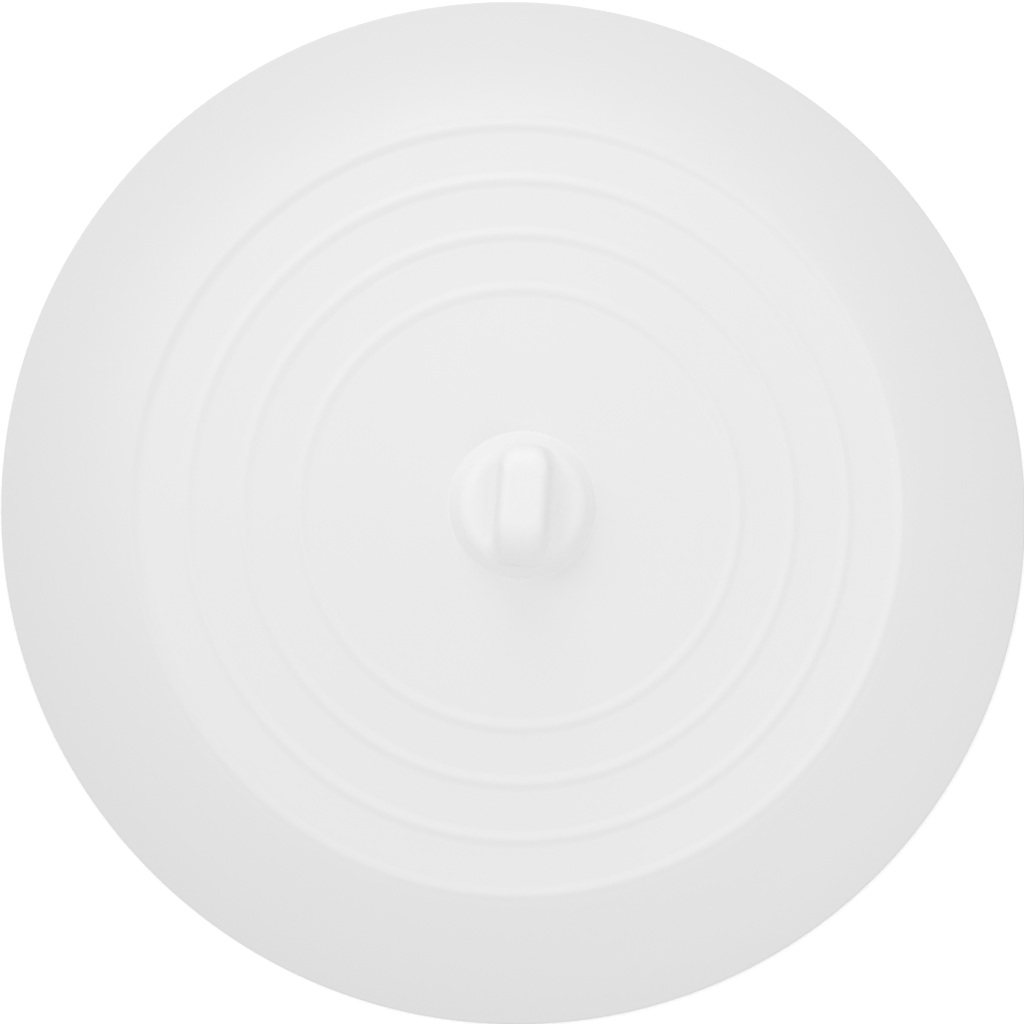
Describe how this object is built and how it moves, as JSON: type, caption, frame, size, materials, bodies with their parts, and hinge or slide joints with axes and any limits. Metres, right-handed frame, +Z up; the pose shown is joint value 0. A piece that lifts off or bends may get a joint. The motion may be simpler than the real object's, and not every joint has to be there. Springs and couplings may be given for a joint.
{
  "type": "drain stopper",
  "caption": "Soft round drain cover with a thin flared sealing skirt, concentric raised ribs and a central knob with a finger fin, pressed down over a bath or sink outlet.",
  "frame": {"origin": "centre of the sealing lip's underside, on the surface that the stopper lies on", "axes": "+Z up through the knob, +Y along the finger fin from its sloping end to its steep end, +X across it"},
  "size_m": [0.15, 0.15, 0.0185],
  "materials": {
    "silicone_sheet": "white silicone rubber with a fine satin mould texture, slightly translucent where it is thin",
    "silicone_grip": "white silicone rubber, solid and opaque, satin with softly rounded edges"
  },
  "bodies": {
    "sheet": {"sealing_lip": "silicone_sheet", "flared_skirt": "silicone_sheet", "outer_band": "silicone_sheet", "middle_band": "silicone_sheet", "inner_band": "silicone_sheet"},
    "hub": {"centre_plate": "silicone_sheet", "knob_base": "silicone_grip", "grip_fin": "silicone_grip"}
  },
  "joints": [
    {"name": "press_flat", "type": "slide", "parent": "sheet", "child": "hub", "axis": [0, 0, 1], "range_m": [-0.005, 0], "stiffness_N_per_m": 1500, "springref_m": 0.0002, "deforming": ["flared_skirt", "outer_band", "middle_band", "inner_band"]}
  ]
}
